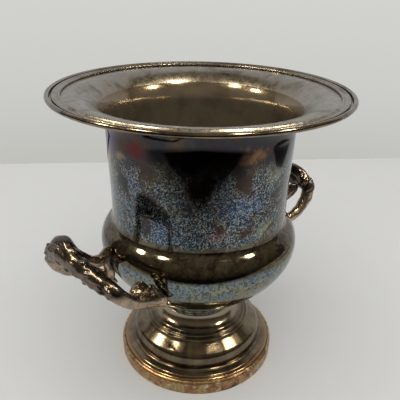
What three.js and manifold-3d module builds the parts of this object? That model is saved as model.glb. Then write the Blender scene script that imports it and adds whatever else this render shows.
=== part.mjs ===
// Two-handled urn-shaped cup trophy on a spun foot, in millimetres, +Z up.
// The origin is at the middle of the base, where the cup's axis meets the surface it stands on.
// The two handles lie along -X and +X.
import * as THREE from 'three';
import { mergeVertices } from 'three/addons/utils/BufferGeometryUtils.js';
import Module from 'manifold-3d';

const wasm = await Module();
wasm.setup();

// ---------------------------------------------------------------- driving dimensions
const SIDES = 48;              // facets round each large turned piece
const SMALL_SIDES = 24;        // facets round the fastener pieces
const CHORD_MISS = 0.4;        // furthest that a facet leaves its curve
const MAX_TURN = 45;           // sharpest corner between facets of one curve, in degrees
const GAP = 0.3;               // solder or seating gap between touching pieces
const SHEET = 1;               // spun sheet thickness

const RIM_R = 120;             // outermost edge of the rim
const BULGE_R = 86.5;          // widest part of the belly
const BULGE_Z = 124;
const SHOULDER_R = 22.7;       // radius of the belly's upper shoulder
const SHOULDER_TURN = 50;      // degrees that the shoulder turns before its fillet
const WALL_R = 75.7;           // straight wall above the belly
const WALL_TOP_R = 77.2;       // wall where the throat starts to flare
const THROAT_Z = 224.4;
const FLARE_R = 25.9;          // radius of the throat's flare, on its outside
const BOWL_FLOOR_R = 34.5;     // flat underneath of the bowl
const BOWL_FLOOR_Z = 60;

const ROLL_R = 1.9;            // outside radius of the rolled edge
const ROLL_Z = 252.1;          // height of the rolled edge's centre
const ROLL_END = 150;          // degrees round the roll where the sheet stops, so that it stays open
const RIM_WIRE_R = 0.6;
const BORDER_IN_R = 108.3;     // applied border moulding on the flange
const BORDER_OUT_R = 114.9;
const BORDER_HEIGHT = 0.8;
const BORDER_BEAD_R = 0.9;

const COLLAR_IN_R = 29;
const COLLAR_OUT_R = 33.2;
const COLLAR_BULGE = 1.6;

const FOOT_R = 73.5;           // outside of the base band
const BAND_TOP_Z = 10;
const BAND_THICK = 2.6;
const SKIRT_Z = 12.6;          // where the foot comes out above the band
const FOOT_TOP_Z = 54;
const NECK_R = 33.5;
const HEM_Z = 1.2;             // bottom edge of the foot's skirt, clear of the table

const STUD_R = 4;
const STUD_HEAD_R = 18;
const STUD_HEAD_THICK = 3;
const STUD_END_Z = 36;
const HOLE_R = 4.6;            // clearance hole for the stud
const WASHER_R = 12;
const WASHER_THICK = 1.6;
const SPRING_R = 7.4;
const SPRING_THICK = 2;
const NUT_ACROSS_CORNERS_R = 7.5;
const NUT_HEIGHT = 6.5;

const GRIP_X = 126;            // centre of the grip bar, out from the axis
const GRIP_Z = 144;
const GRIP_TALL = 17.5;
const GRIP_DEEP = 12;
const LEG_TALL = 10;
const LEG_DEEP = 9.5;

// ---------------------------------------------------------------- materials
function metal(color, roughness) {
  return new THREE.MeshStandardMaterial({ color, roughness, metalness: 1 });
}
const bowlMetal = metal(0x5f5a50, 0.25);
const borderMetal = metal(0x8d887c, 0.35);
const footMetal = metal(0x75643f, 0.28);
const bandMetal = metal(0x8f6a44, 0.38);
const collarMetal = metal(0x6f7266, 0.35);
const handleMetal = metal(0x5d4c3c, 0.35);
const wireMetal = metal(0x9a8358, 0.45);
const steel = metal(0x9a9c9e, 0.4);

// ---------------------------------------------------------------- turned outlines
const radians = THREE.MathUtils.degToRad;

// Points along a path of (radius, height), close enough that no chord leaves its curve by more
// than CHORD_MISS and no corner turns by more than MAX_TURN.
function outlineOf(path) {
  const points = [];
  for (const curve of path.curves) {
    let turn = 0;
    if (!curve.isLineCurve) {
      for (let i = 0; i < 16; i += 1) {
        turn += Math.abs(curve.getTangent(i / 16).angleTo(curve.getTangent((i + 1) / 16)));
      }
    }
    const forMiss = Math.sqrt(curve.getLength() * turn / (8 * CHORD_MISS));
    const count = Math.max(1, Math.ceil(forMiss), Math.ceil(turn / radians(MAX_TURN)));
    for (let i = points.length === 0 ? 0 : 1; i <= count; i += 1) {
      points.push(curve.getPoint(i / count));
    }
  }
  return points;
}

// The outline moved sideways by a distance: positive is to the left of its direction of travel.
function offsetOutline(points, distance) {
  const moved = [];
  for (let i = 0; i < points.length; i += 1) {
    const before = points[Math.max(i - 1, 0)];
    const after = points[Math.min(i + 1, points.length - 1)];
    const into = new THREE.Vector2().subVectors(points[i], before).normalize();
    const out = new THREE.Vector2().subVectors(after, points[i]).normalize();
    if (i === 0) into.copy(out);
    if (i === points.length - 1) out.copy(into);
    const along = new THREE.Vector2().addVectors(into, out).normalize();
    const stretch = Math.min(1 / along.dot(out), 1.6);
    const left = new THREE.Vector2(-along.y, along.x);
    moved.push(points[i].clone().addScaledVector(left, distance * stretch));
  }
  return moved;
}

// A closed ring or a solid of revolution about +Z from an outline of (radius, height) points.
// An outline that doesn't start and end on the axis is closed on itself.
function turned(points, sides = SIDES) {
  const outline = points.map((p) => new THREE.Vector2(Math.max(p.x, 0), p.y));
  const first = outline[0];
  const last = outline[outline.length - 1];
  const onAxis = first.x === 0 && last.x === 0;
  if (!onAxis) outline.push(first.clone());
  const geometry = new THREE.LatheGeometry(outline, sides);
  geometry.rotateX(Math.PI / 2);
  return geometry;
}

// The bowl's outside: floor, belly, shoulder, wall, throat, flange and rolled edge.
function bowlOutside() {
  const path = new THREE.Path();
  path.moveTo(0, BOWL_FLOOR_Z);
  path.lineTo(BOWL_FLOOR_R - 2, BOWL_FLOOR_Z);
  path.lineTo(BOWL_FLOOR_R, BOWL_FLOOR_Z + 0.6);
  path.bezierCurveTo(57, 78, BULGE_R, 98.8, BULGE_R, BULGE_Z);
  const shoulderX = BULGE_R - SHOULDER_R;
  const turn = radians(SHOULDER_TURN);
  path.absarc(shoulderX, BULGE_Z, SHOULDER_R, 0, turn, false);
  const filletStart = shoulderX + SHOULDER_R * Math.cos(turn);
  const filletR = (filletStart - WALL_R) / (1 - Math.cos(turn));
  const reach = SHOULDER_R + filletR;
  const filletX = shoulderX + reach * Math.cos(turn);
  const filletZ = BULGE_Z + reach * Math.sin(turn);
  path.absarc(filletX, filletZ, filletR, Math.PI + turn, Math.PI, true);
  path.bezierCurveTo(WALL_R - 0.6, 175, WALL_TOP_R, 205, WALL_TOP_R, THROAT_Z);
  const flareX = WALL_TOP_R + FLARE_R;
  path.absarc(flareX, THROAT_Z, FLARE_R, Math.PI, Math.PI / 2, true);
  const rollX = RIM_R - ROLL_R;
  path.bezierCurveTo(110, THROAT_Z + FLARE_R, 113, ROLL_Z - ROLL_R, rollX, ROLL_Z - ROLL_R);
  path.absarc(rollX, ROLL_Z, ROLL_R, -Math.PI / 2, radians(ROLL_END), false);
  return outlineOf(path);
}

function bowlShell() {
  const outside = bowlOutside();
  const inside = offsetOutline(outside, SHEET);
  inside[0].x = 0;
  return turned([...outside, ...inside.reverse()]);
}

// The space that the bowl fills up to the throat, swelled by the seating gap.
function bowlClearance() {
  const outside = offsetOutline(bowlOutside(), -GAP).filter((p) => p.y < THROAT_Z);
  outside[0].x = 0;
  return turned([...outside, new THREE.Vector2(0, outside[outside.length - 1].y)]);
}

function rimWire() {
  const path = new THREE.Path();
  path.absarc(RIM_R - ROLL_R, ROLL_Z, RIM_WIRE_R, 0, Math.PI * 2, false);
  return turned(outlineOf(path).slice(0, -1));
}

// The border moulding: a shallow strip between an inner bead and a smaller outer bead.
function rimBorder() {
  const floor = THROAT_Z + FLARE_R + SHEET + GAP;
  const top = floor + BORDER_HEIGHT;
  const path = new THREE.Path();
  path.moveTo(BORDER_IN_R, floor);
  path.lineTo(BORDER_OUT_R - 1.8, floor);
  path.lineTo(BORDER_OUT_R, floor - 0.2);
  path.absarc(BORDER_OUT_R - BORDER_BEAD_R, top - 0.2, BORDER_BEAD_R, 0, Math.PI, false);
  path.absarc(BORDER_IN_R + BORDER_BEAD_R, top, BORDER_BEAD_R, 0, Math.PI, false);
  return turned(outlineOf(path));
}

// The collar between the foot and the bowl, with a rounded outside.
function neckCollar() {
  const low = FOOT_TOP_Z + GAP;
  const high = BOWL_FLOOR_Z - GAP;
  const path = new THREE.Path();
  path.moveTo(COLLAR_IN_R, low);
  path.lineTo(COLLAR_OUT_R, low);
  path.quadraticCurveTo(COLLAR_OUT_R + 2 * COLLAR_BULGE, (low + high) / 2, COLLAR_OUT_R, high);
  path.lineTo(COLLAR_IN_R, high);
  return turned(outlineOf(path));
}

// ---------------------------------------------------------------- foot
// Rounded steps up from the band: each rises from its outer edge and ends at its inner edge.
const STEPS = [
  { outer: 70.6, low: SKIRT_Z, inner: 67.9, high: 14.1 },
  { outer: 67.9, low: 14.1, inner: 66.2, high: 15.4 },
  { outer: 63.3, low: 16.4, inner: 60.9, high: 18.2 },
];
const BEADS = [
  { radius: 47.6, height: 38.15, size: 1.35, from: -20, to: 125 },
  { radius: 44.6, height: 40.35, size: 1.35, from: -20, to: 125 },
];
const FLANK_LOW = { radius: 57.5, height: 31.1 };    // the bell's straight flank
const FLANK_HIGH = { radius: 49, height: 37.45 };
const NECK_LOW = { radius: 41.6, height: 42.9 };

// The foot's line from its hem up to its flat top; details adds the steps and beads.
function footLine(details) {
  const path = new THREE.Path();
  path.moveTo(STEPS[0].outer, HEM_Z);
  path.lineTo(STEPS[0].outer, SKIRT_Z);
  const top = STEPS[STEPS.length - 1];
  if (details) {
    for (const step of STEPS) {
      path.lineTo(step.outer, step.low);
      path.quadraticCurveTo(step.outer, step.high, step.inner, step.high);
    }
  } else {
    path.lineTo(top.inner, top.high - 0.5);
  }
  path.bezierCurveTo(61.3, 25, 60.3, 29, FLANK_LOW.radius, FLANK_LOW.height);
  path.lineTo(FLANK_HIGH.radius, FLANK_HIGH.height);
  if (details) {
    for (const bead of BEADS) {
      path.absarc(bead.radius, bead.height, bead.size, radians(bead.from), radians(bead.to), false);
    }
    path.lineTo(42.9, 41.9);
    path.quadraticCurveTo(42.6, 42.7, NECK_LOW.radius, NECK_LOW.height);
  } else {
    path.lineTo(NECK_LOW.radius, NECK_LOW.height);
  }
  path.bezierCurveTo(37.2, 44.2, 34.4, 47.6, NECK_R, FOOT_TOP_Z - 0.6);
  path.lineTo(NECK_R - 0.6, FOOT_TOP_Z);
  path.lineTo(HOLE_R, FOOT_TOP_Z);
  return outlineOf(path);
}

function foot() {
  const inside = offsetOutline(footLine(false), SHEET);
  inside[inside.length - 1].x = HOLE_R;
  return turned([...footLine(true), ...inside.reverse()]);
}

function footBand() {
  const inner = FOOT_R - BAND_THICK;
  const path = new THREE.Path();
  path.moveTo(inner, 0);
  path.lineTo(FOOT_R - 0.6, 0);
  path.lineTo(FOOT_R, 0.6);
  path.lineTo(FOOT_R, BAND_TOP_Z - 0.4);
  path.quadraticCurveTo(FOOT_R, BAND_TOP_Z + 1.4, inner + 0.5, SKIRT_Z);
  path.lineTo(inner, SKIRT_Z - 0.2);
  return turned(outlineOf(path));
}

// ---------------------------------------------------------------- fastening under the bowl
function disc(radius, holeRadius, low, high, sides = SMALL_SIDES) {
  const outline = [
    new THREE.Vector2(holeRadius, low),
    new THREE.Vector2(radius, low),
    new THREE.Vector2(radius, high),
    new THREE.Vector2(holeRadius, high),
  ];
  return turned(outline, sides);
}

const headTopZ = BOWL_FLOOR_Z - GAP;
const headLowZ = headTopZ - STUD_HEAD_THICK;
function footStud() {
  const outline = [
    new THREE.Vector2(0, STUD_END_Z),
    new THREE.Vector2(STUD_R - 0.6, STUD_END_Z),
    new THREE.Vector2(STUD_R, STUD_END_Z + 0.6),
    new THREE.Vector2(STUD_R, headLowZ),
    new THREE.Vector2(STUD_HEAD_R, headLowZ),
    new THREE.Vector2(STUD_HEAD_R, headTopZ),
    new THREE.Vector2(0, headTopZ),
  ];
  return turned(outline, SMALL_SIDES);
}

const boreR = STUD_R + GAP + 0.1;
const washerTopZ = FOOT_TOP_Z - SHEET - GAP;
const washerLowZ = washerTopZ - WASHER_THICK;
const springTopZ = washerLowZ - GAP;
const springLowZ = springTopZ - SPRING_THICK;
const nutTopZ = springLowZ - GAP;

// A ring cut through on one side, as a spring washer is.
function springWasher() {
  const shape = new THREE.Shape();
  const slit = radians(6);
  shape.absarc(0, 0, SPRING_R, slit, Math.PI * 2 - slit, false);
  shape.absarc(0, 0, boreR, Math.PI * 2 - slit, slit, true);
  const geometry = new THREE.ExtrudeGeometry(shape, {
    depth: SPRING_THICK, bevelEnabled: false, curveSegments: SMALL_SIDES,
  });
  geometry.translate(0, 0, springLowZ);
  return geometry;
}

function hexNut() {
  const shape = new THREE.Shape();
  for (let i = 0; i < 6; i += 1) {
    const angle = i * Math.PI / 3;
    const x = NUT_ACROSS_CORNERS_R * Math.cos(angle);
    const y = NUT_ACROSS_CORNERS_R * Math.sin(angle);
    if (i === 0) shape.moveTo(x, y);
    else shape.lineTo(x, y);
  }
  const hole = new THREE.Path();
  hole.absarc(0, 0, boreR, 0, Math.PI * 2, true);
  shape.holes.push(hole);
  const geometry = new THREE.ExtrudeGeometry(shape, {
    depth: NUT_HEIGHT, bevelEnabled: false, curveSegments: SMALL_SIDES / 2,
  });
  geometry.translate(0, 0, nutTopZ - NUT_HEIGHT);
  return geometry;
}

// ---------------------------------------------------------------- handles
const BRANCH_SIDES = 8;

// Each branch is a list of stations along its centre line: place, then height and depth of the
// section there. The handle on +X is described; GRIP_X and GRIP_Z place the grip's middle.
function station(x, y, z, tall, deep) {
  return { place: new THREE.Vector3(x, y, z), tall, deep };
}

// The main vine: up the raised leg from its tip on the belly, along the grip, down the low leg.
const VINE = [
  station(78.5, -21, 98, 5, 5),
  station(90, -30, 108.5, 8.5, 8),
  station(104, -37, 114.5, LEG_TALL, LEG_DEEP),
  station(115, -39, 121.5, 11, 10.5),
  station(122.5, -39.5, 131.5, 12.5, 12),
  station(GRIP_X - 1.5, -36.5, GRIP_Z - 2, 16, 12.5),
  station(GRIP_X + 0.5, -18, GRIP_Z + 2, 18, 12.5),
  station(GRIP_X + 1, 0, GRIP_Z + 1.5, GRIP_TALL, GRIP_DEEP),
  station(GRIP_X + 0.5, 17, GRIP_Z - 1, 15.5, 11.5),
  station(GRIP_X - 1.5, 30, GRIP_Z - 4, 13, 10.5),
  station(GRIP_X - 5.5, 35, 134, 11, LEG_TALL),
  station(110, 36, 124, LEG_TALL, LEG_DEEP),
  station(97, 36, 117.5, LEG_TALL, LEG_DEEP),
  station(85, 34.5, 111, 9.5, 8.5),
  station(75.5, 36.5, 104.5, 6, 6),
];
// The leaf crest along the raised end of the grip.
const CREST = [
  station(GRIP_X, 3, GRIP_Z + 4.5, 8, 8),
  station(GRIP_X - 1, -11, GRIP_Z + 8.5, 10, 9.5),
  station(GRIP_X - 3, -22, GRIP_Z + 11, 10.5, 10),
  station(122, -33.5, GRIP_Z + 5.5, 10.5, 11),
  station(118, -37.5, GRIP_Z - 1, 9, 9),
];
// The raised leg's upper leaf, which curls over and meets the belly.
const RAISED_LEAF = [
  station(117, -30, 142, 11, 9),
  station(108, -25, 133, 11, 9),
  station(100, -22, 128, 10, 9),
  station(92, -22, 127, 10, 9),
  station(81, -25, 132, 9, 9),
];
const RAISED_SEAM = [
  station(86, -25, 130, 7, 9),
  station(85, -26, 118, 7, 10),
  station(80, -24, 103, 6, 8),
];
// The low leg's upper leaf, its knob, and the ridge that runs down the belly from it.
const LOW_LEAF = [
  station(110, 35, 125, 8, 8),
  station(101, 33, 123, 8.5, 8.5),
  station(94, 31, 122.5, 8, 8),
  station(89, 30, 121, 7, 7),
];
const LOW_KNOB = [
  station(106, 31, 124, 8, 8),
  station(99, 28.5, 125, 11, 11),
  station(90, 25, 123, 8, 8),
];
const LOW_SEAM = [
  station(89, 29, 124, 8, 8),
  station(86, 32, 117, 8, 9),
  station(77, 37, 106, 7, 7),
];

// The value of a station's size at a distance 0..1 along its branch.
function sizeAt(stations, key, t) {
  const reach = t * (stations.length - 1);
  const index = Math.min(Math.floor(reach), stations.length - 2);
  return THREE.MathUtils.lerp(stations[index][key], stations[index + 1][key], reach - index);
}

// A round-ended branch: a long capsule is turned, then bent along the stations.
function branch(stations, steps) {
  const curve = new THREE.CatmullRomCurve3(stations.map((s) => s.place), false, 'centripetal');
  const outline = [new THREE.Vector2(0, 0)];
  for (let i = 0; i <= steps; i += 1) {
    const t = 0.004 + 0.992 * i / steps;
    const toEnd = Math.min(t, 1 - t) * steps / 1.3;
    const round = toEnd < 1 ? Math.sqrt(1 - (1 - toEnd) ** 2) : 1;
    outline.push(new THREE.Vector2(round, t));
  }
  outline.push(new THREE.Vector2(0, 1));
  const geometry = new THREE.LatheGeometry(outline, BRANCH_SIDES);
  const position = geometry.getAttribute('position');
  for (let i = 0; i < position.count; i += 1) {
    const t = position.getY(i);
    const along = curve.getTangent(t);
    const upright = new THREE.Vector3(0, 0, 1).addScaledVector(along, -along.z).normalize();
    const sideways = new THREE.Vector3().crossVectors(upright, along);
    const place = curve.getPoint(t);
    place.addScaledVector(upright, position.getX(i) * sizeAt(stations, 'tall', t) / 2);
    place.addScaledVector(sideways, position.getZ(i) * sizeAt(stations, 'deep', t) / 2);
    position.setXYZ(i, place.x, place.y, place.z);
  }
  return geometry;
}

function solid(geometry) {
  const plain = geometry.clone();
  plain.deleteAttribute('normal');
  plain.deleteAttribute('uv');
  const merged = mergeVertices(plain, 1e-4);
  return new wasm.Manifold(new wasm.Mesh({
    numProp: 3,
    vertProperties: new Float32Array(merged.getAttribute('position').array),
    triVerts: new Uint32Array(merged.getIndex().array),
  }));
}

function fromSolid(body) {
  const mesh = body.getMesh();
  const geometry = new THREE.BufferGeometry();
  geometry.setAttribute('position', new THREE.BufferAttribute(mesh.vertProperties, 3));
  geometry.setIndex(new THREE.BufferAttribute(mesh.triVerts, 1));
  geometry.computeVertexNormals();
  return geometry;
}

// One casting: the vine with its leaves, cut to sit on the belly.
function handle() {
  let body = solid(branch(VINE, 34));
  for (const leaf of [CREST, RAISED_LEAF, RAISED_SEAM, LOW_LEAF, LOW_KNOB, LOW_SEAM]) {
    body = body.add(solid(branch(leaf, 2 * leaf.length)));
  }
  return fromSolid(body.subtract(solid(bowlClearance())));
}

// ---------------------------------------------------------------- assembly
const cup = new THREE.Group();

function add(name, geometry, material) {
  const mesh = new THREE.Mesh(geometry, material);
  mesh.name = name;
  cup.add(mesh);
  return mesh;
}

add('bowl_shell', bowlShell(), bowlMetal);
add('rim_wire', rimWire(), wireMetal);
add('rim_border', rimBorder(), borderMetal);
add('neck_collar', neckCollar(), collarMetal);
add('foot', foot(), footMetal);
add('foot_band', footBand(), bandMetal);
add('foot_stud', footStud(), steel);
add('plain_washer', disc(WASHER_R, boreR, washerLowZ, washerTopZ), steel);
add('spring_washer', springWasher(), steel);
add('hex_nut', hexNut(), steel);

const handleShape = handle();
add('handle_right', handleShape, handleMetal);
add('handle_left', handleShape.clone(), handleMetal).rotation.z = Math.PI;

export default cup;
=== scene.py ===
"""A two-handled silver-plated cup trophy with old, iridescent tarnish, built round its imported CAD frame.

The cup is laid out in millimetres, which become metres where a mesh or a node is made. The stage, the
lights and the camera are laid out in metres.
"""

import math

import bmesh
import bpy
import numpy as np
from mathutils import Matrix, Vector, noise

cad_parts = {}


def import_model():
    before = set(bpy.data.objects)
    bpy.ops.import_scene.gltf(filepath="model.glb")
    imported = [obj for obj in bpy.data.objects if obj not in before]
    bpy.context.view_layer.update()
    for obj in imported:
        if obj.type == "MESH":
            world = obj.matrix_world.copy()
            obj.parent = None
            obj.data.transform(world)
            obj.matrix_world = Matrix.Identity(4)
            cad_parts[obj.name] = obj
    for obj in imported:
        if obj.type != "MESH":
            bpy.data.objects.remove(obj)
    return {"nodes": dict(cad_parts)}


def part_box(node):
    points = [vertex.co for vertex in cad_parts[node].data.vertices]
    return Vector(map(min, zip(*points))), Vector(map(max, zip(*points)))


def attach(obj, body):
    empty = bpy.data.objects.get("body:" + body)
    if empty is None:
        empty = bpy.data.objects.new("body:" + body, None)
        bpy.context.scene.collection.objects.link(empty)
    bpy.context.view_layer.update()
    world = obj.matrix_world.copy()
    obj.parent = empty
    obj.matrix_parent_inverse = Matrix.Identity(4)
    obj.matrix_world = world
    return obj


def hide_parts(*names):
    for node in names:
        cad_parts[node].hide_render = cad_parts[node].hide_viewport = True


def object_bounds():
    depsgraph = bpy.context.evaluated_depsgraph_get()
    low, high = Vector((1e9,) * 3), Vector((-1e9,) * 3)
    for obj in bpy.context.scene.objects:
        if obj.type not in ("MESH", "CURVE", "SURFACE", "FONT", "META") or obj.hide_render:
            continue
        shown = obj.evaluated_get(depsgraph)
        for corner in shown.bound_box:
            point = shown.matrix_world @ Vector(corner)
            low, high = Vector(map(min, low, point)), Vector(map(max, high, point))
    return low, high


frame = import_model()
cad_low, cad_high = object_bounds()

# ---------------------------------------------------------------- driving dimensions
MM = 0.001
HEADING = math.radians(41)     # where the camera looks, measured from +X
TURNS = 288                    # faces round each large turned piece
CURVE_STEP = 0.7               # length of a face along a turned outline
SHARP_TURN = 35                # an edge is shaded as a corner from this many degrees up
INSIDE_BOX = 0.03              # how far the visual pieces stay inside the CAD box
SEAT = 0.25                    # gap that the handles keep to the belly

# The bowl, from its floor to its rolled edge.
SHEET = 1.0
FLOOR_R, FLOOR_Z = 34.5, 60.0
BULGE_R, BULGE_Z = 86.5, 124.0
SHOULDER_R, SHOULDER_TURN = 22.7, 50.0
WALL_R, WALL_TOP_R, THROAT_Z = 75.7, 77.2, 224.4
FLARE_R = 25.9
ROLL_R, ROLL_END = 1.85, 150.0
rim_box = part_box("bowl_shell")[1] / MM
RIM_R = rim_box.y - INSIDE_BOX
ROLL_Z = rim_box.z - INSIDE_BOX - ROLL_R

# The border on its flange, and the collar under its floor.
BORDER_IN_R, BORDER_OUT_R = 108.3, 114.9
BORDER_BEAD_R, BORDER_LOBES, LOBE_HEIGHT = 0.85, 120, 0.14
COLLAR_IN_R = 29

# The foot, in (radius, height) points. Its slopes were worked out from the highlights in the photo.
# A step is its outer radius, where it starts to round over, its inner radius and its top.
SKIRT_Z = 12.6
STEPS = [(70.6, SKIRT_Z, 67.9, 14.1), (67.9, 14.1, 66.2, 15.4), (63.3, 16.4, 60.9, 18.2)]
FLANK_LOW, FLANK_HIGH, NECK_LOW = (57.5, 31.1), (49.0, 37.45), (41.6, 42.9)
UNDER_FLANK_LOW, UNDER_FLANK_HIGH, UNDER_NECK_LOW = (56.9, 30.3), (48.4, 36.65), (41.0, 42.0)
BEADS, BEAD_R = [(47.6, 38.15), (44.6, 40.35)], 1.35
STUD_HOLE_R = 4.6
FOOT_TOP_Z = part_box("foot")[1].z / MM
HEM_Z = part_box("foot")[0].z / MM

# The base band, which is rubbed and dented.
BAND_IN_R = 70.9
BAND_OUT_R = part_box("foot_band")[1].y / MM - 0.12


# ---------------------------------------------------------------- outlines of turned pieces
class Outline:
    """A line of (radius, height) points, made of straight, curved and round stretches."""

    def __init__(self, r, z):
        self.points = [(r, z)]

    def line(self, r, z):
        self.points.append((r, z))
        return self

    def _sample(self, place, count):
        self.points += [place(i / count) for i in range(1, count + 1)]
        return self

    def bezier(self, *handles):
        """A curved stretch, drawn by its handles to the last of them."""
        ends = np.array([self.points[-1], *handles], float)
        length = np.linalg.norm(np.diff(ends, axis=0), axis=1).sum()
        degree = len(ends) - 1
        ways = [math.comb(degree, k) for k in range(degree + 1)]

        def place(t):
            shares = [w * t**k * (1 - t) ** (degree - k) for k, w in enumerate(ways)]
            return tuple(np.array(shares) @ ends)

        return self._sample(place, max(6, round(length / CURVE_STEP)))

    def arc(self, r, z, size, start, end):
        """A round stretch about (r, z) from one angle to another, in degrees."""
        def place(t):
            angle = math.radians(start + (end - start) * t)
            return (r + size * math.cos(angle), z + size * math.sin(angle))

        if math.dist(place(0), self.points[-1]) > 0.01:
            self.points.append(place(0))
        length = abs(math.radians(end - start)) * size
        return self._sample(place, max(8, round(length / CURVE_STEP)))


def moved_outline(points, distance):
    """The outline moved to the left of its direction of travel."""
    line = np.array(points)
    along = np.gradient(line, axis=0)
    along /= np.linalg.norm(along, axis=1)[:, None]
    left = np.stack([-along[:, 1], along[:, 0]], 1)
    moved = line + left * distance
    moved[:, 0] = np.maximum(moved[:, 0], 0)
    return [tuple(p) for p in moved]


def bowl_outside():
    """The bowl's outer side: floor, belly, shoulder, fillet, wall, flared throat, flange and roll."""
    line = Outline(0, FLOOR_Z)
    line.line(FLOOR_R * 0.5, FLOOR_Z).line(FLOOR_R - 2, FLOOR_Z).line(FLOOR_R, FLOOR_Z + 0.6)
    line.bezier((57, 78), (BULGE_R, 98.8), (BULGE_R, BULGE_Z))
    centre_r = BULGE_R - SHOULDER_R
    line.arc(centre_r, BULGE_Z, SHOULDER_R, 0, SHOULDER_TURN)
    turn = math.radians(SHOULDER_TURN)
    fillet_start = centre_r + SHOULDER_R * math.cos(turn)
    fillet = (fillet_start - WALL_R) / (1 - math.cos(turn))
    reach = SHOULDER_R + fillet
    fillet_r = centre_r + reach * math.cos(turn)
    fillet_z = BULGE_Z + reach * math.sin(turn)
    line.arc(fillet_r, fillet_z, fillet, 180 + SHOULDER_TURN, 180)
    line.bezier((WALL_R - 0.6, 175), (WALL_TOP_R, 205), (WALL_TOP_R, THROAT_Z))
    line.arc(WALL_TOP_R + FLARE_R, THROAT_Z, FLARE_R, 180, 90)
    roll_r = RIM_R - ROLL_R
    roll_low = ROLL_Z - ROLL_R
    line.bezier((110, THROAT_Z + FLARE_R), (113, roll_low), (roll_r, roll_low))
    return line.arc(roll_r, ROLL_Z, ROLL_R, -90, ROLL_END).points


# ---------------------------------------------------------------- meshes
def mesh_object(name, vertices, faces, material):
    """An object from points in millimetres, smooth but for its sharp edges."""
    mesh = bpy.data.meshes.new(name)
    mesh.from_pydata([Vector(v) * MM for v in vertices], [], faces)
    mesh.validate()
    joined = bmesh.new()
    joined.from_mesh(mesh)
    bmesh.ops.remove_doubles(joined, verts=joined.verts, dist=1e-7)
    bmesh.ops.recalc_face_normals(joined, faces=joined.faces)
    joined.to_mesh(mesh)
    joined.free()
    mesh.polygons.foreach_set("use_smooth", [True] * len(mesh.polygons))
    mesh.set_sharp_from_angle(angle=math.radians(SHARP_TURN))
    made = bpy.data.objects.new(name, mesh)
    bpy.context.scene.collection.objects.link(made)
    if material is not None:
        mesh.materials.append(material)
    return made


def turned(name, outline, material, sides=TURNS, shape=None):
    """A body of revolution about +Z. shape(r, z, angle) may move its points."""
    closed_on_axis = outline[0][0] < 1e-6 and outline[-1][0] < 1e-6
    vertices = []
    for i in range(sides):
        angle = 2 * math.pi * i / sides
        for r, z in outline:
            if shape:
                r, z = shape(r, z, angle)
            vertices.append((r * math.cos(angle), r * math.sin(angle), z))
    count = len(outline)
    faces = []
    for i in range(sides):
        here, there = i * count, (i + 1) % sides * count
        for j in range(count - 1 if closed_on_axis else count):
            k = (j + 1) % count
            faces.append((here + j, there + j, there + k, here + k))
    return mesh_object(name, vertices, faces, material)


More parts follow.
